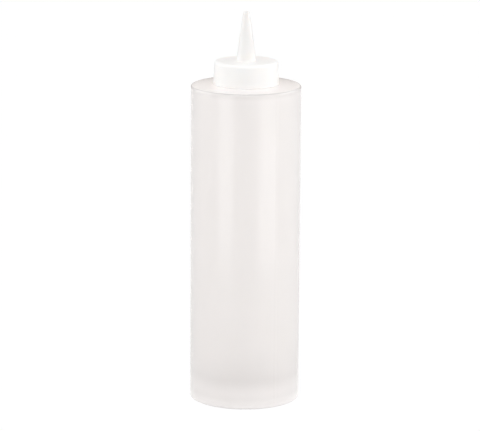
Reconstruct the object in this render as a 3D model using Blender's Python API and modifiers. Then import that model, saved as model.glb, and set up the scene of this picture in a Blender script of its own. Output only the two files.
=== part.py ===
"""A condiment squeeze bottle: a blow-moulded bottle with a screwed neck, a soft sealing ring, and an
injection-moulded screw cap drawn out into a pouring cone.

Blender 4.5, metres, +Z up. The bottle stands on z = 0 with its axis on the Z axis, and the cap is shown
screwed home. Each piece is turned from an outline in the X-Z plane, and the threads are helical ridges.
"""

import math

import bmesh
import bpy

MM = 0.001

# Bottle body
BODY_DIAMETER = 70.0 * MM
BODY_HEIGHT = 203.0 * MM  # from the table to the edge of the shoulder
BODY_WALL = 1.0 * MM
BASE_WALL = 1.4 * MM
HEEL_RADIUS = 1.1 * MM
STAND_WIDTH = 2.4 * MM  # the flat ring that it stands on
PUSH_UP = 2.2 * MM  # how far the base is drawn up inside that ring
SHOULDER_RADIUS = 1.5 * MM
SHOULDER_RISE = 0.8 * MM  # from the shoulder's edge to the neck

# Bottle neck, a 38 mm screw finish
NECK_DIAMETER = 34.8 * MM  # at the thread's root
NECK_WALL = 1.6 * MM
NECK_HEIGHT = 11.7 * MM
NECK_FILLET = 0.8 * MM
RIM_RADIUS = 0.4 * MM

# Thread, shared by neck and cap
THREAD_PITCH = 4.233 * MM  # six turns to the inch
THREAD_DEPTH = 1.25 * MM
THREAD_BASE = 2.3 * MM  # width of the ridge at its root
THREAD_CREST = 1.0 * MM
THREAD_CLEARANCE = 0.35 * MM  # between the two threads, along the radius
FLANK_CLEARANCE = 0.3 * MM  # between the flanks that bear on each other, along the axis
NECK_THREAD_TURNS = 1.25
CAP_THREAD_TURNS = 1.0
THREAD_FADE_TURNS = 0.12  # over which each end of a ridge sinks into the wall
NECK_THREAD_START = 1.3 * MM  # from the rim to the ridge's upper end
CAP_THREAD_START = 3.3 * MM  # from the skirt's lower edge to the ridge's lower end
THREAD_ROOT_OVERLAP = 0.5 * MM  # how deep a ridge reaches into the wall that it grows from

# Sealing ring, under the cap's top
RING_THICKNESS = 1.0 * MM
RING_WIDTH = 4.1 * MM
RING_EDGE = 0.2 * MM
SEAT_GAP = 0.3 * MM  # between the ring and what it seals, and between the ring and the skirt

# Cap
CAP_PLATE = 1.3 * MM
SKIRT_WALL = 1.25 * MM  # at the top of the skirt
SKIRT_DRAFT = 0.55 * MM  # how much wider the skirt is at its lower edge
SKIRT_TO_SHOULDER = 0.3 * MM
CAP_TOP_RADIUS = 2.0 * MM
CAP_INNER_RADIUS = 0.5 * MM
SKIRT_EDGE = 0.3 * MM

# Pouring cone, drawn out of the cap's top
CONE_HEIGHT = 31.0 * MM
CONE_BASE_DIAMETER = 12.3 * MM
CONE_TIP_DIAMETER = 4.25 * MM
CONE_BASE_BORE = 9.8 * MM
CONE_TIP_BORE = 2.2 * MM
CONE_FILLET = 0.8 * MM
TIP_RADIUS = 0.7 * MM

# Fineness
ROUND_STEPS = 56
ARC_STEPS = 3
SMALL_ARC_STEPS = 2
CROWN_STEPS = 4
THREAD_STEPS_PER_TURN = 48
MERGE_DISTANCE = 0.01 * MM
SHARP_ANGLE = math.radians(35.0)

# Worked out from the sizes above
BODY_RADIUS = BODY_DIAMETER / 2
NECK_RADIUS = NECK_DIAMETER / 2
NECK_BORE = NECK_RADIUS - NECK_WALL
SHOULDER_TOP = BODY_HEIGHT + SHOULDER_RISE
RIM_Z = SHOULDER_TOP + NECK_HEIGHT
RING_Z = RIM_Z + SEAT_GAP
CAP_UNDERSIDE = RING_Z + RING_THICKNESS + SEAT_GAP
CAP_TOP = CAP_UNDERSIDE + CAP_PLATE
SKIRT_Z = SHOULDER_TOP + SKIRT_TO_SHOULDER
SKIRT_BORE = NECK_RADIUS + THREAD_DEPTH + THREAD_CLEARANCE
THREAD_FLANK = (THREAD_BASE - THREAD_CREST) / 2 / THREAD_DEPTH  # slope of a ridge's side
THREAD_SPACING = THREAD_BASE - THREAD_FLANK * (THREAD_DEPTH + THREAD_CLEARANCE) + FLANK_CLEARANCE
NECK_THREAD_Z = RIM_Z - NECK_THREAD_START - THREAD_BASE / 2 - THREAD_PITCH * NECK_THREAD_TURNS
CAP_THREAD_Z = SKIRT_Z + CAP_THREAD_START + THREAD_BASE / 2
CAP_THREAD_ANGLE = math.tau * (CAP_THREAD_Z + THREAD_SPACING - NECK_THREAD_Z) / THREAD_PITCH


def arc(centre, radius, start, end, steps=ARC_STEPS):
    """Points of a round stretch in the X-Z plane. Angles are in degrees from +X towards +Z."""
    points = []
    for i in range(steps + 1):
        angle = math.radians(start + (end - start) * i / steps)
        points.append((centre[0] + radius * math.cos(angle), centre[1] + radius * math.sin(angle)))
    return points


def crown(edge, middle):
    """Points of a low crown, from its edge, which it leaves on a slope, to its middle, where it is level."""
    points = []
    for i in range(CROWN_STEPS + 1):
        share = i / CROWN_STEPS
        rise = 1 - (1 - share) ** 2
        points.append((edge[0] + (middle[0] - edge[0]) * share, edge[1] + (middle[1] - edge[1]) * rise))
    return points


def collection(name):
    """A new collection in the scene."""
    group = bpy.data.collections.new(name)
    bpy.context.scene.collection.children.link(group)
    return group


def plastic(name, colour, roughness):
    """A material with one plain Principled shader."""
    material = bpy.data.materials.new(name)
    material.use_nodes = True
    shader = material.node_tree.nodes["Principled BSDF"]
    shader.inputs["Base Color"].default_value = (*colour, 1.0)
    shader.inputs["Roughness"].default_value = roughness
    shader.inputs["Metallic"].default_value = 0.0
    return material


def turned(name, outline, origin_z, group, material):
    """A piece turned about the Z axis from an outline that runs down its outer side and back up inside. The
    outline closes on itself, or on the axis. The piece's origin is on that axis, at origin_z."""
    mesh = bpy.data.meshes.new(name)
    edges = []
    for i, point in enumerate(outline):
        j = (i + 1) % len(outline)
        if point[0] > 0 or outline[j][0] > 0:
            edges.append((i, j))
    mesh.from_pydata([(x, 0.0, z - origin_z) for x, z in outline], edges, [])
    mesh.materials.append(material)
    item = bpy.data.objects.new(name, mesh)
    item.location.z = origin_z
    group.objects.link(item)
    screw = item.modifiers.new("Turn", "SCREW")
    screw.axis = "Z"
    screw.angle = math.tau
    screw.steps = ROUND_STEPS
    screw.render_steps = ROUND_STEPS
    screw.use_merge_vertices = True
    screw.merge_threshold = MERGE_DISTANCE
    return item


def helical_ridge(name, root, outward, low_z, low_angle, turns, group):
    """A right-hand thread ridge with a trapezoid section, as a guide. It grows from the root radius, away from
    the axis if outward is 1 and towards it if outward is -1, and its lower end's middle is at low_z. Both ends
    sink into the wall, which the ridge's foot reaches into all along."""
    foot = root - outward * THREAD_ROOT_OVERLAP
    half_foot = THREAD_BASE / 2 + THREAD_FLANK * THREAD_ROOT_OVERLAP
    half_crest = THREAD_CREST / 2
    sunk = -THREAD_ROOT_OVERLAP / 2
    form = bmesh.new()
    sections = []
    count = round(turns * THREAD_STEPS_PER_TURN)
    for i in range(count + 1):
        turn = turns * i / count
        swell = min(1.0, turn / THREAD_FADE_TURNS, (turns - turn) / THREAD_FADE_TURNS)
        crest = root + outward * (sunk + (THREAD_DEPTH - sunk) * swell)
        z = low_z + THREAD_PITCH * turn
        angle = low_angle + math.tau * turn
        corners = ((foot, z - half_foot), (crest, z - half_crest), (crest, z + half_crest), (foot, z + half_foot))
        sections.append([form.verts.new((r * math.cos(angle), r * math.sin(angle), h)) for r, h in corners])
    for low, high in zip(sections, sections[1:]):
        for i in range(len(low)):
            j = (i + 1) % len(low)
            form.faces.new((low[i], low[j], high[j], high[i]))
    form.faces.new(sections[0])
    form.faces.new(sections[-1])
    bmesh.ops.recalc_face_normals(form, faces=form.faces)
    mesh = bpy.data.meshes.new(name)
    form.to_mesh(mesh)
    form.free()
    ridge = bpy.data.objects.new(name, mesh)
    ridge.hide_render = True
    ridge.display_type = "WIRE"
    group.objects.link(ridge)
    return ridge


def add_thread(item, ridge):
    """Unites a ridge with the piece that it grows from."""
    union = item.modifiers.new("Thread", "BOOLEAN")
    union.operation = "UNION"
    union.solver = "EXACT"
    union.object = ridge


def shade(item):
    """Applies the piece's modifiers and shades it smooth, with its real edges kept sharp."""
    evaluated = item.evaluated_get(bpy.context.evaluated_depsgraph_get())
    mesh = bpy.data.meshes.new_from_object(evaluated)
    item.modifiers.clear()
    item.data = mesh
    mesh.shade_smooth()
    mesh.set_sharp_from_angle(angle=SHARP_ANGLE)


def bottle_outline():
    """The bottle's wall: down the outside and in under the base to the axis, then back up the inside."""
    neck_foot = (NECK_RADIUS + NECK_FILLET, SHOULDER_TOP + NECK_FILLET)
    corner = (BODY_RADIUS - SHOULDER_RADIUS, BODY_HEIGHT - SHOULDER_RADIUS)
    heel = (BODY_RADIUS - HEEL_RADIUS, HEEL_RADIUS)
    rim = (NECK_RADIUS - RIM_RADIUS, RIM_Z - RIM_RADIUS)
    stand = heel[0] - STAND_WIDTH
    outer = arc(rim, RIM_RADIUS, 90, 0, SMALL_ARC_STEPS)
    outer += arc(neck_foot, NECK_FILLET, 180, 270, SMALL_ARC_STEPS)
    outer += crown((corner[0], BODY_HEIGHT), (neck_foot[0], SHOULDER_TOP))[-2:0:-1]
    outer += arc(corner, SHOULDER_RADIUS, 90, 0)
    outer += arc(heel, HEEL_RADIUS, 0, -90)
    outer += crown((stand, 0.0), (0.0, PUSH_UP))

    inner_wall = BODY_RADIUS - BODY_WALL
    heel_radius = HEEL_RADIUS + BODY_WALL
    heel = (inner_wall - heel_radius, BASE_WALL + heel_radius)
    corner_radius = SHOULDER_RADIUS - BODY_WALL
    corner = (inner_wall - corner_radius, BODY_HEIGHT - BODY_WALL - corner_radius)
    neck_foot = (NECK_BORE + NECK_FILLET, SHOULDER_TOP - BODY_WALL + NECK_FILLET)
    rim = (NECK_BORE + RIM_RADIUS, RIM_Z - RIM_RADIUS)
    inner = crown((heel[0], BASE_WALL), (0.0, PUSH_UP + BASE_WALL))[:0:-1]
    inner += arc(heel, heel_radius, -90, 0)
    inner += arc(corner, corner_radius, 0, 90, SMALL_ARC_STEPS)
    inner += arc(neck_foot, NECK_FILLET, 270, 180, SMALL_ARC_STEPS)
    inner += arc(rim, RIM_RADIUS, 180, 90, SMALL_ARC_STEPS)
    return outer + inner


def ring_outline():
    """A flat ring with its edges broken."""
    outer = SKIRT_BORE - SEAT_GAP - RING_EDGE
    inner = SKIRT_BORE - SEAT_GAP - RING_WIDTH + RING_EDGE
    top = RING_Z + RING_THICKNESS - RING_EDGE
    bottom = RING_Z + RING_EDGE
    points = arc((outer, top), RING_EDGE, 90, 0, 1)
    points += arc((outer, bottom), RING_EDGE, 0, -90, 1)
    points += arc((inner, bottom), RING_EDGE, -90, -180, 1)
    points += arc((inner, top), RING_EDGE, -180, -270, 1)
    return points


def cap_outline():
    """The cap: from the cone's tip down the outside to the skirt's edge, then back up inside to the tip."""
    tip = (CONE_TIP_DIAMETER / 2 - TIP_RADIUS, CAP_TOP + CONE_HEIGHT - TIP_RADIUS)
    cone_foot = (CONE_BASE_DIAMETER / 2 + CONE_FILLET, CAP_TOP + CONE_FILLET)
    shoulder = (SKIRT_BORE + SKIRT_WALL - CAP_TOP_RADIUS, CAP_TOP - CAP_TOP_RADIUS)
    hem = (SKIRT_BORE + SKIRT_WALL + SKIRT_DRAFT - SKIRT_EDGE, SKIRT_Z + SKIRT_EDGE)
    outer = arc(tip, TIP_RADIUS, 90, 0)
    outer += arc(cone_foot, CONE_FILLET, 180, 270, SMALL_ARC_STEPS)
    outer += arc(shoulder, CAP_TOP_RADIUS, 90, 0)
    outer += arc(hem, SKIRT_EDGE, 0, -90, SMALL_ARC_STEPS)

    hem = (SKIRT_BORE + SKIRT_EDGE, SKIRT_Z + SKIRT_EDGE)
    corner = (SKIRT_BORE - CAP_INNER_RADIUS, CAP_UNDERSIDE - CAP_INNER_RADIUS)
    mouth = (CONE_BASE_BORE / 2 + CAP_INNER_RADIUS, CAP_UNDERSIDE + CAP_INNER_RADIUS)
    inner = arc(hem, SKIRT_EDGE, 270, 180, SMALL_ARC_STEPS)
    inner += arc(corner, CAP_INNER_RADIUS, 0, 90, SMALL_ARC_STEPS)
    inner += arc(mouth, CAP_INNER_RADIUS, 270, 180, SMALL_ARC_STEPS)
    inner.append((CONE_TIP_BORE / 2, CAP_TOP + CONE_HEIGHT))
    return outer + inner


for item in list(bpy.data.objects):
    bpy.data.objects.remove(item, do_unlink=True)

parts = collection("squeeze_bottle")
guides = collection("thread_ridges")

natural_ldpe = plastic("natural_ldpe", (0.86, 0.84, 0.82), 0.35)
white_ldpe = plastic("white_ldpe", (0.92, 0.91, 0.9), 0.3)
white_rubber = plastic("white_rubber", (0.88, 0.87, 0.85), 0.7)

bottle = turned("bottle", bottle_outline(), 0.0, parts, natural_ldpe)
seal_ring = turned("seal_ring", ring_outline(), RING_Z, parts, white_rubber)
cap = turned("cap", cap_outline(), RIM_Z, parts, white_ldpe)

neck_thread = helical_ridge("neck_thread", NECK_RADIUS, 1, NECK_THREAD_Z, 0.0, NECK_THREAD_TURNS, guides)
cap_thread = helical_ridge(
    "cap_thread", SKIRT_BORE, -1, CAP_THREAD_Z, CAP_THREAD_ANGLE, CAP_THREAD_TURNS, guides
)
add_thread(bottle, neck_thread)
add_thread(cap, cap_thread)
for item in (bottle, seal_ring, cap):
    shade(item)
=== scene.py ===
import math

import bpy
from mathutils import Matrix, Vector, noise


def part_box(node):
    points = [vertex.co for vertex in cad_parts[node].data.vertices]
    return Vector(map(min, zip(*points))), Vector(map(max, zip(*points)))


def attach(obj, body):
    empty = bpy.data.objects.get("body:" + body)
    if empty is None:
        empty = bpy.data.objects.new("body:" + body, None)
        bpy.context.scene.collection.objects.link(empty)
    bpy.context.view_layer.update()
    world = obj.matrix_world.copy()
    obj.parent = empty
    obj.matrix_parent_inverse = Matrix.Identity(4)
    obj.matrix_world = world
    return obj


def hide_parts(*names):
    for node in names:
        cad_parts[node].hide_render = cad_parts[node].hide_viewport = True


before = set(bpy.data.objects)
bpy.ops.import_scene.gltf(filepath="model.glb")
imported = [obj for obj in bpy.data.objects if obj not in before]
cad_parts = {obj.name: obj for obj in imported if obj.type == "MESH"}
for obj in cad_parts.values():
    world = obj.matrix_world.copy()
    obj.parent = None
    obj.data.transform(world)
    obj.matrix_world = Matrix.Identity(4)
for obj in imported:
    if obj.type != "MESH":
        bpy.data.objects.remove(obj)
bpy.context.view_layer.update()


# Bottle
# One blow-moulded piece of natural low-density polyethylene: body, flat shoulder, screwed neck, and a base
# drawn up inside the ring that it stands on. Where the mould's halves met there is a fine seam up two sides,
# and a pinched-off weld across the base.

MM = 0.001
bottle_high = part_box("bottle")[1]
RIM_Z = bottle_high.z
RELIEF = 0.12 * MM  # room left inside the full radius for the seam and the slight waves of the wall
BODY_RADIUS = bottle_high.x - RELIEF
NECK_HEIGHT = 11.7 * MM
SHOULDER_TOP = RIM_Z - NECK_HEIGHT
SHOULDER_RISE = 0.8 * MM
SHOULDER_Z = SHOULDER_TOP - SHOULDER_RISE
SHOULDER_RADIUS = 1.5 * MM
HEEL_RADIUS = 1.1 * MM
STAND_WIDTH = 2.4 * MM
PUSH_UP = 2.2 * MM
WALL = 1.0 * MM
BASE_WALL = 1.4 * MM
NECK_RADIUS = 17.4 * MM
NECK_WALL = 1.6 * MM
NECK_FILLET = 0.8 * MM
RIM_EDGE = 0.4 * MM
THREAD_PITCH = 4.233 * MM
THREAD_DEPTH = 1.25 * MM
THREAD_BASE = 2.3 * MM
THREAD_CREST = 1.0 * MM
THREAD_FADE = 0.12  # of a turn
THREAD_TO_RIM = 1.3 * MM
NECK_THREAD_TURNS = 1.25
NECK_THREAD_Z = RIM_Z - THREAD_TO_RIM - THREAD_BASE / 2 - THREAD_PITCH * NECK_THREAD_TURNS
SEAM_ANGLE = math.radians(-56.0)  # the weld lies the same way across the base
SEAM_HEIGHT = 0.07 * MM
SEAM_WIDTH = 0.35 * MM
PINCH_HEIGHT = 0.5 * MM
PINCH_WIDTH = 1.2 * MM
PINCH_LENGTH = 40.0 * MM
PINCH_UNDER = -0.6  # how far the weld hangs under the base, as a share of its height above it
WAVE = 0.05 * MM
WAVE_LENGTH = 34.0 * MM
WAVE_SQUEEZE = 0.6  # the waves are longer up the wall than round it
AROUND = 288
THREADED_STEP = 0.16 * MM  # rings this close together draw the thread
WALL_STEP = 3.0 * MM
SHOULDER_STEP = 2.0 * MM
BORE_STEP = 1.0 * MM
SMALL_STEPS = 6
BASE_STEPS = 40


def arc(centre, radius, start, end, steps=8):
    """Points of a round stretch of an outline. Angles are in degrees from +X towards +Z."""
    points = []
    for i in range(steps + 1):
        angle = math.radians(start + (end - start) * i / steps)
        points.append((centre[0] + radius * math.cos(angle), centre[1] + radius * math.sin(angle)))
    return points


def straight(start, end, pitch):
    """Points between two ends of an outline, about a pitch apart, without the ends."""
    count = max(2, round(math.dist(start, end) / pitch))
    shares = [i / count for i in range(1, count)]
    return [(start[0] + (end[0] - start[0]) * s, start[1] + (end[1] - start[1]) * s) for s in shares]


def crown(edge, middle, steps=12):
    """Points of a low crown, on a slope at its edge and level in its middle."""
    points = []
    for i in range(steps + 1):
        share = i / steps
        rise = 1 - (1 - share) ** 2
        points.append((edge[0] + (middle[0] - edge[0]) * share, edge[1] + (middle[1] - edge[1]) * rise))
    return points


def thread_height(z, angle, low_z, low_angle, turns):
    """How far a right-hand thread ridge stands out at one point of the wall that it runs round."""
    height = 0.0
    turn = (angle - low_angle) / math.tau % 1.0
    while turn <= turns:
        off = abs(z - low_z - THREAD_PITCH * turn)
        side = (THREAD_BASE / 2 - off) / ((THREAD_BASE - THREAD_CREST) / 2)
        share = min(1.0, max(0.0, side))
        fade = min(1.0, turn / THREAD_FADE, (turns - turn) / THREAD_FADE)
        height = max(height, THREAD_DEPTH * fade * share * share * (3 - 2 * share))
        turn += 1.0
    return height


def turned(name, outline, place):
    """A piece turned from a closed outline round the Z axis. place moves each of its points a little."""
    points = []
    faces = []
    rings = []
    for number, (r, z) in enumerate(outline):
        if r == 0.0:
            rings.append([len(points)] * AROUND)
            points.append(place(number, 0.0, z, 0.0))
        else:
            rings.append(list(range(len(points), len(points) + AROUND)))
            points += [place(number, r, z, math.tau * i / AROUND) for i in range(AROUND)]
    for upper, lower in zip(rings, rings[1:] + rings[:1]):
        for i in range(AROUND):
            j = (i + 1) % AROUND
            corners = [upper[i], lower[i], lower[j], upper[j]]
            unique = list(dict.fromkeys(corners))
            if len(unique) > 2:
                faces.append(unique)
    mesh = bpy.data.meshes.new(name)
    mesh.from_pydata(points, [], faces)
    mesh.validate()
    mesh.shade_smooth()
    piece = bpy.data.objects.new(name, mesh)
    bpy.context.scene.collection.objects.link(piece)
    return piece


def near_seam(r, angle):
    """Distance of a point from the plane in which the mould's halves met."""
    return abs(r * math.sin(angle - SEAM_ANGLE))


def bottle_place(number, r, z, angle):
    """A point of the bottle: thread on the neck, waves and seam on the body, weld across the base."""
    x = r * math.cos(angle)
    y = r * math.sin(angle)
    outside = number < bottle_outside
    if outside and z > SHOULDER_TOP + NECK_FILLET:
        r += thread_height(z, angle, NECK_THREAD_Z, 0.0, NECK_THREAD_TURNS)
    elif z < SHOULDER_Z and r > 0.0:
        r += WAVE * noise.noise(Vector((x, y, z * WAVE_SQUEEZE)) / WAVE_LENGTH)
    if outside and r > NECK_RADIUS - RIM_EDGE and z > 0.0:
        r += SEAM_HEIGHT * math.exp(-((near_seam(r, angle) / SEAM_WIDTH) ** 2))
    if r < bottle_stand and z < SHOULDER_Z:
        across = math.exp(-((near_seam(r, angle) / PINCH_WIDTH) ** 2))
        along = min(1.0, max(0.0, (PINCH_LENGTH / 2 - r) / PINCH_WIDTH + 1.0))
        z += PINCH_HEIGHT * across * along * (PINCH_UNDER if outside else 1.0)
    return (r * math.cos(angle), r * math.sin(angle), z)


neck_foot = (NECK_RADIUS + NECK_FILLET, SHOULDER_TOP + NECK_FILLET)
corner = (BODY_RADIUS - SHOULDER_RADIUS, SHOULDER_Z - SHOULDER_RADIUS)
heel = (BODY_RADIUS - HEEL_RADIUS, HEEL_RADIUS)
rim = (NECK_RADIUS - RIM_EDGE, RIM_Z - RIM_EDGE)
bottle_stand = heel[0] - STAND_WIDTH
bottle_outline = arc(rim, RIM_EDGE, 90, 0, SMALL_STEPS)
bottle_outline += straight((NECK_RADIUS, rim[1]), (NECK_RADIUS, neck_foot[1]), THREADED_STEP)
bottle_outline += arc(neck_foot, NECK_FILLET, 180, 270, SMALL_STEPS)
bottle_outline += crown((corner[0], SHOULDER_Z), (neck_foot[0], SHOULDER_TOP))[-2:0:-1]
bottle_outline += arc(corner, SHOULDER_RADIUS, 90, 0)
bottle_outline += straight((BODY_RADIUS, corner[1]), (BODY_RADIUS, heel[1]), WALL_STEP)
bottle_outline += arc(heel, HEEL_RADIUS, 0, -90)
bottle_outline += crown((bottle_stand, 0.0), (0.0, PUSH_UP), BASE_STEPS)
bottle_outside = len(bottle_outline)

inner_radius = BODY_RADIUS - WALL
heel = (inner_radius - HEEL_RADIUS - WALL, BASE_WALL + HEEL_RADIUS + WALL)
bore = NECK_RADIUS - NECK_WALL
neck_foot = (bore + NECK_FILLET, SHOULDER_TOP - WALL + NECK_FILLET)
rim = (bore + RIM_EDGE, RIM_Z - RIM_EDGE)
bottle_outline += crown((heel[0], BASE_WALL), (0.0, PUSH_UP + BASE_WALL), BASE_STEPS)[:0:-1]
bottle_outline += arc(heel, HEEL_RADIUS + WALL, -90, 0)
bottle_floor = len(bottle_outline)  # the base and its heel end here, and the inner wall starts
bottle_outline += straight((inner_radius, heel[1]), (inner_radius, corner[1]), WALL_STEP)
bottle_outline += arc(corner, SHOULDER_RADIUS - WALL, 0, 90)
bottle_outline += straight((corner[0], SHOULDER_Z - WALL), (neck_foot[0], SHOULDER_TOP - WALL), SHOULDER_STEP)
bottle_outline += arc(neck_foot, NECK_FILLET, 270, 180, SMALL_STEPS)
bottle_outline += straight((bore, neck_foot[1]), (bore, rim[1]), BORE_STEP)
bottle_outline += arc(rim, RIM_EDGE, 180, 90, SMALL_STEPS)

bottle = turned("squeeze_bottle", bottle_outline, bottle_place)


def linear(colour):
    """An sRGB hex colour as the linear values that a shader takes."""
    parts = [int(colour[i:i + 2], 16) / 255 for i in (1, 3, 5)]
    return (*[c / 12.92 if c <= 0.04045 else ((c + 0.055) / 1.055) ** 2.4 for c in parts], 1.0)


def add_node(tree, kind, settings, inputs):
    """Adds a shader node. An input takes a plain value, or another node's output to link it to."""
    node = tree.nodes.new(kind)
    for name, value in settings.items():
        setattr(node, name, value)
    for name, value in inputs.items():
        if isinstance(value, bpy.types.NodeSocket):
            tree.links.new(value, node.inputs[name])
        else:
            node.inputs[name].default_value = value
    return node


def blank_material(name):
    """A new material with an empty node tree."""
    material = bpy.data.materials.new(name)
    material.use_nodes = True
    material.node_tree.nodes.clear()
    return material


# Natural LDPE, blown and unpigmented: milky and warm white. The wall scatters part of the light back and lets
# the rest pass, so the base shows faintly through it. How much passes goes by the blown wall's thickness:
# little at the heel, the shoulder and the neck, which are thick, none at the very foot, and the most at the
# stretched corner under the shoulder. The base's upper side is milky too. The mould's fine blasting and the
# die lines of the drawn tube keep it from shining like glass.
ldpe = blank_material("natural LDPE, blow-moulded")
tree = ldpe.node_tree
where = add_node(tree, "ShaderNodeTexCoord", {}, {})
CLOUD_MM = 30.0  # the slow clouds of a wall that is not quite even
cloud = add_node(tree, "ShaderNodeTexNoise", {}, {
    "Vector": where.outputs["Object"], "Scale": 1000 / CLOUD_MM, "Detail": 2.0})
tone = add_node(tree, "ShaderNodeMix", {"data_type": "RGBA"}, {
    "Factor": cloud.outputs["Fac"]})
tone.inputs["A"].default_value = linear("#FBF7F5")
tone.inputs["B"].default_value = linear("#FDF9F8")
DIE_LINE_MM = 0.8  # drawn coarser than the real lines, which are too fine to show
DIE_LINE_STRETCH = 0.02
squeeze = add_node(tree, "ShaderNodeMapping", {}, {
    "Vector": where.outputs["Object"], "Scale": (1.0, 1.0, DIE_LINE_STRETCH)})
die_lines = add_node(tree, "ShaderNodeTexNoise", {}, {
    "Vector": squeeze.outputs["Vector"], "Scale": 1000 / DIE_LINE_MM, "Detail": 3.0})
polish = add_node(tree, "ShaderNodeMapRange", {}, {
    "Value": die_lines.outputs["Fac"], "To Min": 0.16, "To Max": 0.22})
surface = add_node(tree, "ShaderNodeBump", {}, {
    "Height": die_lines.outputs["Fac"], "Strength": 0.25, "Distance": 0.02 * MM})
CLEAR_SOLE = 0.0
CLEAR_FOOT = 0.13
CLEAR_HEEL = 0.295
CLEAR_WALL = 0.4
CLEAR_CORNER = 0.47
CLEAR_SHOULDER = 0.18
SOLE_LOW = 0.15 * MM
SOLE_HIGH = 0.9 * MM
FOOT_HIGH = 7.0 * MM
HEEL_LOW = 9.0 * MM
HEEL_HIGH = 20.0 * MM
CORNER_LOW = SHOULDER_Z - 5.0 * MM
CORNER_HIGH = SHOULDER_Z - 1.0 * MM
EDGE_LOW = SHOULDER_Z - 0.35 * MM
EDGE_HIGH = SHOULDER_Z - 0.05 * MM
height = add_node(tree, "ShaderNodeSeparateXYZ", {}, {"Vector": where.outputs["Object"]})
wall = add_node(tree, "ShaderNodeMapRange", {"interpolation_type": "SMOOTHSTEP"}, {
    "Value": height.outputs["Z"], "From Min": CORNER_LOW, "From Max": CORNER_HIGH,
    "To Min": CLEAR_WALL, "To Max": CLEAR_CORNER})
foot = add_node(tree, "ShaderNodeMapRange", {"interpolation_type": "SMOOTHSTEP"}, {
    "Value": height.outputs["Z"], "From Min": 0.0, "From Max": FOOT_HIGH,
    "To Min": CLEAR_FOOT, "To Max": CLEAR_HEEL})
sole = add_node(tree, "ShaderNodeMapRange", {}, {
    "Value": height.outputs["Z"], "From Min": SOLE_LOW, "From Max": SOLE_HIGH,
    "To Min": CLEAR_SOLE, "To Max": foot.outputs["Result"]})
above_heel = add_node(tree, "ShaderNodeMapRange", {"interpolation_type": "SMOOTHSTEP"}, {
    "Value": height.outputs["Z"], "From Min": HEEL_LOW, "From Max": HEEL_HIGH,
    "To Min": sole.outputs["Result"], "To Max": wall.outputs["Result"]})
clear = add_node(tree, "ShaderNodeMapRange", {"interpolation_type": "SMOOTHSTEP"}, {
    "Value": height.outputs["Z"], "From Min": EDGE_LOW, "From Max": EDGE_HIGH,
    "To Min": above_heel.outputs["Result"], "To Max": CLEAR_SHOULDER})
shader = add_node(tree, "ShaderNodeBsdfPrincipled", {}, {
    "Roughness": polish.outputs["Result"],
    "IOR": 1.51,
    "Transmission Weight": clear.outputs["Result"],
    "Normal": surface.outputs["Normal"]})
tree.links.new(tone.outputs["Result"], shader.inputs["Base Color"])
add_node(tree, "ShaderNodeOutputMaterial", {}, {"Surface": shader.outputs["BSDF"]})
bottle.data.materials.append(ldpe)

# The inner skin of the wall, the shoulder and the neck is the same plastic, left as it was blown. All the
# milkiness is in the outer skin's material, so this one only lets the light through, softened by the grain
# of the air side.
air_side = blank_material("natural LDPE, air side")
tree = air_side.node_tree
where = add_node(tree, "ShaderNodeTexCoord", {}, {})
AIR_GRAIN_MM = 1.5  # drawn coarser than the real grain, which is too fine to show
grain = add_node(tree, "ShaderNodeTexNoise", {}, {
    "Vector": where.outputs["Object"], "Scale": 1000 / AIR_GRAIN_MM, "Detail": 2.0})
polish = add_node(tree, "ShaderNodeMapRange", {}, {
    "Value": grain.outputs["Fac"], "To Min": 0.2, "To Max": 0.25})
shader = add_node(tree, "ShaderNodeBsdfPrincipled", {}, {
    "Base Color": linear("#FDFBF8"),
    "Roughness": polish.outputs["Result"],
    "IOR": 1.51,
    "Transmission Weight": 1.0})
add_node(tree, "ShaderNodeOutputMaterial", {}, {"Surface": shader.outputs["BSDF"]})
bottle.data.materials.append(air_side)
# Each ring of points starts AROUND faces, but the one from which the outline runs up the axis starts none.
first_inside = (bottle_floor - 2) * AROUND
for face in bottle.data.polygons:
    face.material_index = int(face.index >= first_inside)
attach(bottle, "bottle")
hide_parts("bottle")


# Sealing ring
# A flat liner ring, die-cut from soft white rubber and pressed up under the cap's top. The cap squeezes it on
# the neck's rim. It is only seen when the cap is lifted.

ring_low, ring_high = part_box("seal_ring")
RING_WIDTH = 4.1 * MM
RING_EDGE = 0.2 * MM
RING_STEPS = 4
ring_outer = ring_high.x - RING_EDGE
ring_inner = ring_high.x - RING_WIDTH + RING_EDGE
ring_outline = arc((ring_outer, ring_high.z - RING_EDGE), RING_EDGE, 90, 0, RING_STEPS)
ring_outline += arc((ring_outer, ring_low.z + RING_EDGE), RING_EDGE, 0, -90, RING_STEPS)
ring_outline += arc((ring_inner, ring_low.z + RING_EDGE), RING_EDGE, -90, -180, RING_STEPS)
ring_outline += arc((ring_inner, ring_high.z - RING_EDGE), RING_EDGE, -180, -270, RING_STEPS)


def round_place(number, r, z, angle):
    """A point of a truly round piece."""
    return (r * math.cos(angle), r * math.sin(angle), z)


ring = turned("sealing_ring", ring_outline, round_place)

# White rubber, cut from a sheet: matt and a little greyer than the plastic, with a fine dusty grain.
rubber = blank_material("white rubber, die-cut")
tree = rubber.node_tree
where = add_node(tree, "ShaderNodeTexCoord", {}, {})
GRAIN_MM = 0.4
grain = add_node(tree, "ShaderNodeTexNoise", {}, {
    "Vector": where.outputs["Object"], "Scale": 1000 / GRAIN_MM, "Detail": 3.0})
tone = add_node(tree, "ShaderNodeMix", {"data_type": "RGBA"}, {"Factor": grain.outputs["Fac"]})
tone.inputs["A"].default_value = linear("#E4E2DD")
tone.inputs["B"].default_value = linear("#F0EEEA")
surface = add_node(tree, "ShaderNodeBump", {}, {
    "Height": grain.outputs["Fac"], "Strength": 0.4, "Distance": 0.05 * MM})
shader = add_node(tree, "ShaderNodeBsdfPrincipled", {}, {
    "Roughness": 0.75, "IOR": 1.52, "Normal": surface.outputs["Normal"]})
tree.links.new(tone.outputs["Result"], shader.inputs["Base Color"])
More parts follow.
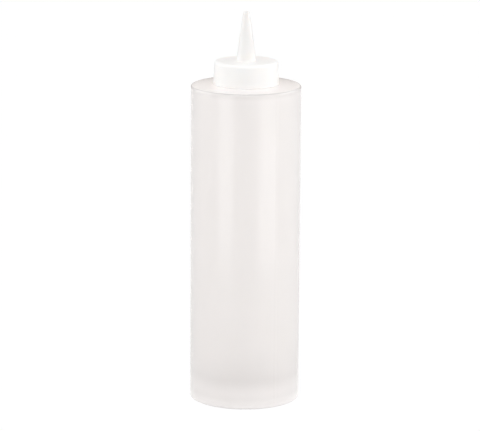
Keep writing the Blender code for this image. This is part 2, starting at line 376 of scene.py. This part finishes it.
add_node(tree, "ShaderNodeOutputMaterial", {}, {"Surface": shader.outputs["BSDF"]})
ring.data.materials.append(rubber)
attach(ring, "seal_ring")
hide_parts("seal_ring")


# Cap
# A screw cap with its pouring cone, injection-moulded in one piece of white low-density polyethylene. The
# skirt is plain, with a little draft, and the thread is inside it. The cone is hollow right to its tip.

cap_low, cap_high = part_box("cap")
CONE_HEIGHT = 31.0 * MM
CAP_PLATE = 1.3 * MM
THREAD_CLEARANCE = 0.35 * MM
SKIRT_BORE = NECK_RADIUS + THREAD_DEPTH + THREAD_CLEARANCE
SKIRT_DRAFT = 0.55 * MM
SKIRT_EDGE = 0.05 * MM
HEM_GAP = 0.01 * MM  # the hem all but rests on the shoulder
CAP_TOP_EDGE = 2.0 * MM
CAP_INNER_EDGE = 0.5 * MM
CONE_BASE = 6.15 * MM
CONE_TIP = 2.125 * MM
CONE_BASE_BORE = 4.9 * MM
CONE_TIP_BORE = 1.1 * MM
CONE_FILLET = 0.8 * MM
TIP_EDGE = 0.7 * MM
CAP_THREAD_TURNS = 1.0
CAP_THREAD_START = 3.3 * MM
FLANK_GAP = 0.3 * MM
CAP_STEP = 1.0 * MM
SKIRT_STEP = 0.8 * MM
TOP_EDGE_STEPS = 12
FINE_STEPS = 5
skirt_z = SHOULDER_TOP + HEM_GAP
tip_z = cap_high.z
cap_top = tip_z - CONE_HEIGHT
underside = cap_top - CAP_PLATE
hem_radius = cap_high.x
cap_thread_z = cap_low.z + CAP_THREAD_START + THREAD_BASE / 2
slope = (THREAD_BASE - THREAD_CREST) / 2 / THREAD_DEPTH
spacing = THREAD_BASE - slope * (SKIRT_BORE - NECK_RADIUS) + FLANK_GAP
cap_thread_angle = math.tau * (cap_thread_z + spacing - NECK_THREAD_Z) / THREAD_PITCH


def cap_place(number, r, z, angle):
    """A point of the cap, with the thread inside the skirt."""
    if number >= cap_outside and z < underside - CAP_INNER_EDGE:
        r -= thread_height(z, angle, cap_thread_z, cap_thread_angle, CAP_THREAD_TURNS)
    return (r * math.cos(angle), r * math.sin(angle), z)


tip = (CONE_TIP - TIP_EDGE, tip_z - TIP_EDGE)
cone_foot = (CONE_BASE + CONE_FILLET, cap_top + CONE_FILLET)
top_radius = hem_radius - SKIRT_DRAFT
top_edge = (top_radius - CAP_TOP_EDGE, cap_top - CAP_TOP_EDGE)
hem = (hem_radius - SKIRT_EDGE, skirt_z + SKIRT_EDGE)
cap_outline = arc(tip, TIP_EDGE, 90, 0)
cap_outline += straight((CONE_TIP, tip[1]), (CONE_BASE, cone_foot[1]), CAP_STEP)
cap_outline += arc(cone_foot, CONE_FILLET, 180, 270)
cap_outline += straight((cone_foot[0], cap_top), (top_edge[0], cap_top), CAP_STEP)
cap_outline += arc(top_edge, CAP_TOP_EDGE, 90, 0, TOP_EDGE_STEPS)
cap_outline += straight((top_radius, top_edge[1]), (hem_radius, hem[1]), SKIRT_STEP)
cap_outline += arc(hem, SKIRT_EDGE, 0, -90, FINE_STEPS)
cap_outside = len(cap_outline)
hem = (SKIRT_BORE + SKIRT_EDGE, skirt_z + SKIRT_EDGE)
inner_corner = (SKIRT_BORE - CAP_INNER_EDGE, underside - CAP_INNER_EDGE)
mouth = (CONE_BASE_BORE + CAP_INNER_EDGE, underside + CAP_INNER_EDGE)
cap_outline += arc(hem, SKIRT_EDGE, 270, 180, FINE_STEPS)
cap_outline += straight((SKIRT_BORE, hem[1]), (SKIRT_BORE, inner_corner[1]), THREADED_STEP)
cap_outline += arc(inner_corner, CAP_INNER_EDGE, 0, 90, FINE_STEPS)
cap_outline += straight((inner_corner[0], underside), (mouth[0], underside), CAP_STEP)
cap_outline += arc(mouth, CAP_INNER_EDGE, 270, 180, FINE_STEPS)
cap_outline += straight((CONE_BASE_BORE, mouth[1]), (CONE_TIP_BORE, tip_z), CAP_STEP)
cap_outline.append((CONE_TIP_BORE, tip_z))

cap = turned("screw_cap", cap_outline, cap_place)

# White LDPE, injection-moulded: whiter and less clear than the bottle, with the light scattered close under
# its skin. The thin cone lets the most light through, the skirt less, the plate little, and the hem, which
# rests on the shoulder, none. The melt's flow leaves faint clouds, and the mould a soft shine.
white = blank_material("white LDPE, injection-moulded")
tree = white.node_tree
where = add_node(tree, "ShaderNodeTexCoord", {}, {})
FLOW_MM = 12.0  # the clouds that the melt leaves as it fills the mould
flow = add_node(tree, "ShaderNodeTexNoise", {}, {
    "Vector": where.outputs["Object"], "Scale": 1000 / FLOW_MM, "Detail": 3.0, "Distortion": 0.6})
tone = add_node(tree, "ShaderNodeMix", {"data_type": "RGBA"}, {"Factor": flow.outputs["Fac"]})
tone.inputs["A"].default_value = linear("#FAF3F1")
tone.inputs["B"].default_value = linear("#FCF6F4")
polish = add_node(tree, "ShaderNodeMapRange", {}, {
    "Value": flow.outputs["Fac"], "To Min": 0.36, "To Max": 0.42})
SKIN_MM = 0.5  # drawn coarser than the finish of the mould, which is too fine to show
skin = add_node(tree, "ShaderNodeTexNoise", {}, {
    "Vector": where.outputs["Object"], "Scale": 1000 / SKIN_MM, "Detail": 2.0})
surface = add_node(tree, "ShaderNodeBump", {}, {
    "Height": skin.outputs["Fac"], "Strength": 0.1, "Distance": 0.02 * MM})
CLEAR_HEM = 0.0
CLEAR_SKIRT = 0.155
CLEAR_PLATE = 0.09
CLEAR_CONE = 0.225
HEM_HIGH = skirt_z + 3.0 * MM
PLATE_LOW = cap_top - 2.0 * MM
PLATE_HIGH = cap_top - 0.3 * MM
CONE_HIGH = cap_top + 5.0 * MM
SCATTER_DEPTH = 0.3 * MM
height = add_node(tree, "ShaderNodeSeparateXYZ", {}, {"Vector": where.outputs["Object"]})
skirt = add_node(tree, "ShaderNodeMapRange", {}, {
    "Value": height.outputs["Z"], "From Min": skirt_z, "From Max": HEM_HIGH,
    "To Min": CLEAR_HEM, "To Max": CLEAR_SKIRT})
plate = add_node(tree, "ShaderNodeMapRange", {}, {
    "Value": height.outputs["Z"], "From Min": PLATE_LOW, "From Max": PLATE_HIGH,
    "To Min": skirt.outputs["Result"], "To Max": CLEAR_PLATE})
clear = add_node(tree, "ShaderNodeMapRange", {}, {
    "Value": height.outputs["Z"], "From Min": cap_top, "From Max": CONE_HIGH,
    "To Min": plate.outputs["Result"], "To Max": CLEAR_CONE})
shader = add_node(tree, "ShaderNodeBsdfPrincipled", {}, {
    "Roughness": polish.outputs["Result"],
    "IOR": 1.51,
    "Transmission Weight": clear.outputs["Result"],
    "Subsurface Weight": 1.0,
    "Subsurface Scale": SCATTER_DEPTH,
    "Subsurface Radius": (1.0, 0.95, 0.9),
    "Normal": surface.outputs["Normal"]})
tree.links.new(tone.outputs["Result"], shader.inputs["Base Color"])
add_node(tree, "ShaderNodeOutputMaterial", {}, {"Surface": shader.outputs["BSDF"]})
cap.data.materials.append(white)
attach(cap, "cap")
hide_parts("cap")


# Floor
# A plain white table top, which runs on behind the bottle as its background. The camera sees it almost only
# by its own plain white, so that it is as white as the background, with just a trace of the bottle's shadow.

FLOOR_SIZE = 8.0
SELF_WHITE = 0.98
GLOW = 1.015  # makes up for the small share that is seen as lit
floor_mesh = bpy.data.meshes.new("floor")
half = FLOOR_SIZE / 2
corners = [(-half, -half, 0), (half, -half, 0), (half, half, 0), (-half, half, 0)]
floor_mesh.from_pydata(corners, [], [(0, 1, 2, 3)])
floor = bpy.data.objects.new("floor", floor_mesh)
bpy.context.scene.collection.objects.link(floor)


def shown(tree):
    """1 for a ray from the camera, straight, mirrored or through a clear wall, and 0 for scattered light."""
    path = add_node(tree, "ShaderNodeLightPath", {}, {})
    mirrored = add_node(tree, "ShaderNodeMath", {"operation": "MAXIMUM"}, {
        0: path.outputs["Is Camera Ray"], 1: path.outputs["Is Glossy Ray"]})
    passed = add_node(tree, "ShaderNodeMath", {"operation": "MAXIMUM"}, {
        0: mirrored.outputs[0], 1: path.outputs["Is Transmission Ray"]})
    return passed.outputs[0]


# White laminate: matt, with no grain that shows.
table = blank_material("white table top")
tree = table.node_tree
diffuse = add_node(tree, "ShaderNodeBsdfDiffuse", {}, {"Color": linear("#C6C6C6")})
glow = add_node(tree, "ShaderNodeEmission", {}, {"Color": (1.0, 1.0, 1.0, 1.0), "Strength": GLOW})
seen = add_node(tree, "ShaderNodeMath", {"operation": "MULTIPLY"}, {0: shown(tree), 1: SELF_WHITE})
mixed = add_node(tree, "ShaderNodeMixShader", {}, {
    0: seen.outputs[0], 1: diffuse.outputs["BSDF"], 2: glow.outputs["Emission"]})
add_node(tree, "ShaderNodeOutputMaterial", {}, {"Surface": mixed.outputs["Shader"]})
floor_mesh.materials.append(table)


# Light
# A strip stands on the table at each side of the camera and shows in the wall as a soft stripe. A long strip
# to the right, level with the shoulder, whitens the cap's side. A softbox stands at each side of the bottle,
# and one hangs in front above it. The room is white all round, but for a card behind the bottle: its dark
# foot, mirrored at a low angle, keeps the shoulder's far edge from fading into the background.


def softbox(name, azimuth, distance, height, aim, width, depth, radiance):
    """A rectangular light at a height above the table, turned towards the bottle's axis at the height of aim.
    azimuth is from the camera's side, to the right. radiance is what a mirror would show: 1 is white."""
    light = bpy.data.lights.new(name, "AREA")
    light.shape = "RECTANGLE"
    light.size = width
    light.size_y = depth
    light.energy = radiance * math.pi * width * depth
    lamp = bpy.data.objects.new(name, light)
    turn = math.radians(azimuth)
    place = Vector((distance * math.sin(turn), -distance * math.cos(turn), height))
    towards = Vector((0.0, 0.0, aim)) - place
    lamp.matrix_world = Matrix.Translation(place) @ towards.to_track_quat("-Z", "Y").to_matrix().to_4x4()
    lamp.visible_camera = False
    bpy.context.scene.collection.objects.link(lamp)


softbox(
    "left strip", azimuth=-41.0, distance=0.42, height=0.1,
    aim=0.1, width=0.24, depth=0.2, radiance=1.3)
softbox(
    "right strip", azimuth=46.0, distance=0.42, height=0.07,
    aim=0.07, width=0.28, depth=0.14, radiance=1.24)
softbox(
    "high strip", azimuth=46.0, distance=0.5, height=0.2,
    aim=0.2, width=1.2, depth=0.106, radiance=1.35)
softbox(
    "right side", azimuth=95.0, distance=0.6, height=0.3,
    aim=0.12, width=0.5, depth=0.4, radiance=1.7)
softbox(
    "left side", azimuth=-95.0, distance=0.6, height=0.3,
    aim=0.12, width=0.5, depth=0.4, radiance=1.8)
softbox(
    "top", azimuth=0.0, distance=0.3, height=0.6,
    aim=0.2, width=0.45, depth=0.45, radiance=1.2)

CARD_DISTANCE = 0.5
CARD_SIDE = 0.4
CARD_LOW = 0.15
CARD_HIGH = 0.6
DARK_TOP = 0.25
DARK_FADE = 0.03
card_mesh = bpy.data.meshes.new("card behind")
corners = [(-CARD_SIDE, CARD_LOW), (CARD_SIDE, CARD_LOW), (CARD_SIDE, CARD_HIGH), (-CARD_SIDE, CARD_HIGH)]
card_mesh.from_pydata([(x, CARD_DISTANCE, z) for x, z in corners], [], [(0, 1, 2, 3)])
card = bpy.data.objects.new("card behind", card_mesh)
bpy.context.scene.collection.objects.link(card)

# Painted card: matt, warm dark brown along its foot and pale above, and seen only as a reflection.
paper = blank_material("card, dark along its foot")
tree = paper.node_tree
where = add_node(tree, "ShaderNodeTexCoord", {}, {})
height = add_node(tree, "ShaderNodeSeparateXYZ", {}, {"Vector": where.outputs["Object"]})
pale = add_node(tree, "ShaderNodeMapRange", {"interpolation_type": "SMOOTHSTEP"}, {
    "Value": height.outputs["Z"], "From Min": DARK_TOP - DARK_FADE, "From Max": DARK_TOP + DARK_FADE})
tone = add_node(tree, "ShaderNodeMix", {"data_type": "RGBA"}, {"Factor": pale.outputs["Result"]})
tone.inputs["A"].default_value = linear("#6A5A50")
tone.inputs["B"].default_value = linear("#DCD6D1")
diffuse = add_node(tree, "ShaderNodeBsdfDiffuse", {}, {})
tree.links.new(tone.outputs["Result"], diffuse.inputs["Color"])
add_node(tree, "ShaderNodeOutputMaterial", {}, {"Surface": diffuse.outputs["BSDF"]})
card_mesh.materials.append(paper)
card.visible_camera = False
card.visible_diffuse = False
card.visible_transmission = False
card.visible_shadow = False

ROOM = 0.85  # the light that the room throws on the bottle, where it is seen as 1, white
world = bpy.data.worlds.new("white room")
bpy.context.scene.world = world
world.use_nodes = True
tree = world.node_tree
tree.nodes.clear()
level = add_node(tree, "ShaderNodeMapRange", {}, {"Value": shown(tree), "To Min": ROOM, "To Max": 1.0})
backdrop = add_node(tree, "ShaderNodeBackground", {}, {
    "Color": (1.0, 1.0, 1.0, 1.0), "Strength": level.outputs["Result"]})
add_node(tree, "ShaderNodeOutputWorld", {}, {"Surface": backdrop.outputs["Background"]})


# Camera
# A long lens, a little above the bottle. Its place and lens come from the outline of the bottle in the
# photograph: the ellipses of the shoulder and the base, and how much the body narrows downwards.

IMAGE_WIDTH = 480
LENS_PIXELS = 2914.0
SENSOR = 36.0
ELEVATION = math.radians(12.42)
DISTANCE = 1.854
AIM_Z = 0.125
ROLL = math.radians(-0.35)
OFFSET_PIXELS = (5.4, -10.1)  # where the aim point lies from the middle of the photograph

camera_data = bpy.data.cameras.new("camera")
camera_data.sensor_width = SENSOR
camera_data.lens = SENSOR * LENS_PIXELS / IMAGE_WIDTH
camera_data.shift_x = -OFFSET_PIXELS[0] / IMAGE_WIDTH
camera_data.shift_y = OFFSET_PIXELS[1] / IMAGE_WIDTH
camera = bpy.data.objects.new("camera", camera_data)
bpy.context.scene.collection.objects.link(camera)
back = Vector((0.0, -math.cos(ELEVATION), math.sin(ELEVATION)))
aim = (-back).to_track_quat("-Z", "Y").to_matrix().to_4x4() @ Matrix.Rotation(-ROLL, 4, "Z")
camera.matrix_world = Matrix.Translation(Vector((0.0, 0.0, AIM_Z)) + back * DISTANCE) @ aim
bpy.context.scene.camera = camera
bpy.context.scene.view_settings.view_transform = "Standard"
